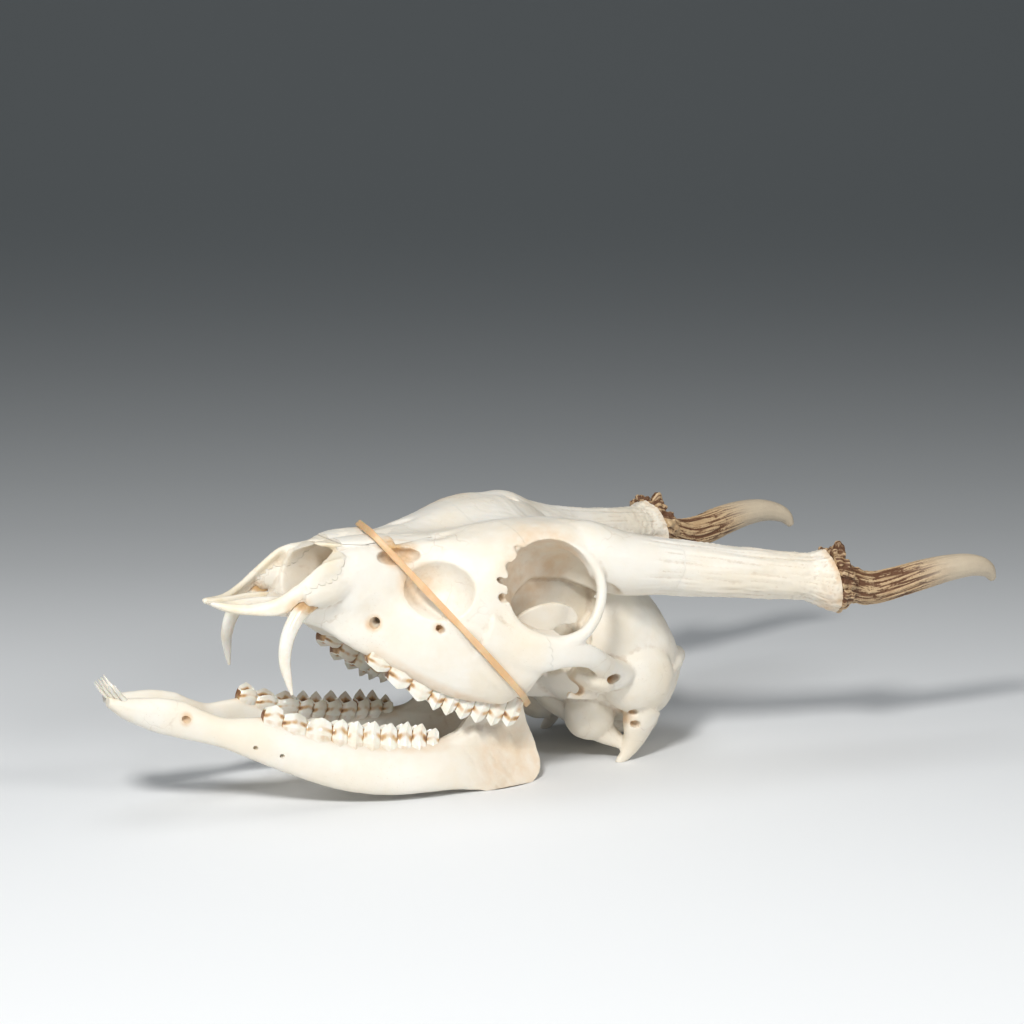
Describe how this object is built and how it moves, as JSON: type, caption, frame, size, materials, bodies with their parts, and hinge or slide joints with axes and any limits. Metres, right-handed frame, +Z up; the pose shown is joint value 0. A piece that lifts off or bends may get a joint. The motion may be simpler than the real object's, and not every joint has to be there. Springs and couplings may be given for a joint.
{
  "type": "muntjac skull",
  "caption": "Muntjac buck skull with antlers, long upper canines and both halves of the lower jaw, held by a rubber band.",
  "frame": {"origin": "centre of the bounding box's bottom, on the floor that the skull rests on", "axes": "+Z up, -X towards the snout, -Y towards the animal's left side, as the skull lies at rest with its nose up"},
  "size_m": [0.2688, 0.1128, 0.0774],
  "materials": {
    "bone": "bleached bone, smooth with fine pores",
    "old_bone": "yellowed thin bone",
    "enamel": "enamel, half gloss",
    "antler": "furrowed brown antler",
    "rubber": "tan rubber band"
  },
  "bodies": {
    "root": {"braincase": "bone", "face": "bone", "premaxilla_left": "old_bone", "premaxilla_right": "old_bone", "nasal_left": "bone", "nasal_right": "bone", "pedicle_left": "bone", "pedicle_right": "bone", "antler_left": "antler", "antler_right": "antler", "brow_tine_left": "antler", "brow_tine_right": "antler", "canine_left": "enamel", "canine_right": "enamel", "mandible_left": "bone", "mandible_right": "bone", "rubber_band": "rubber"}
  },
  "joints": []
}
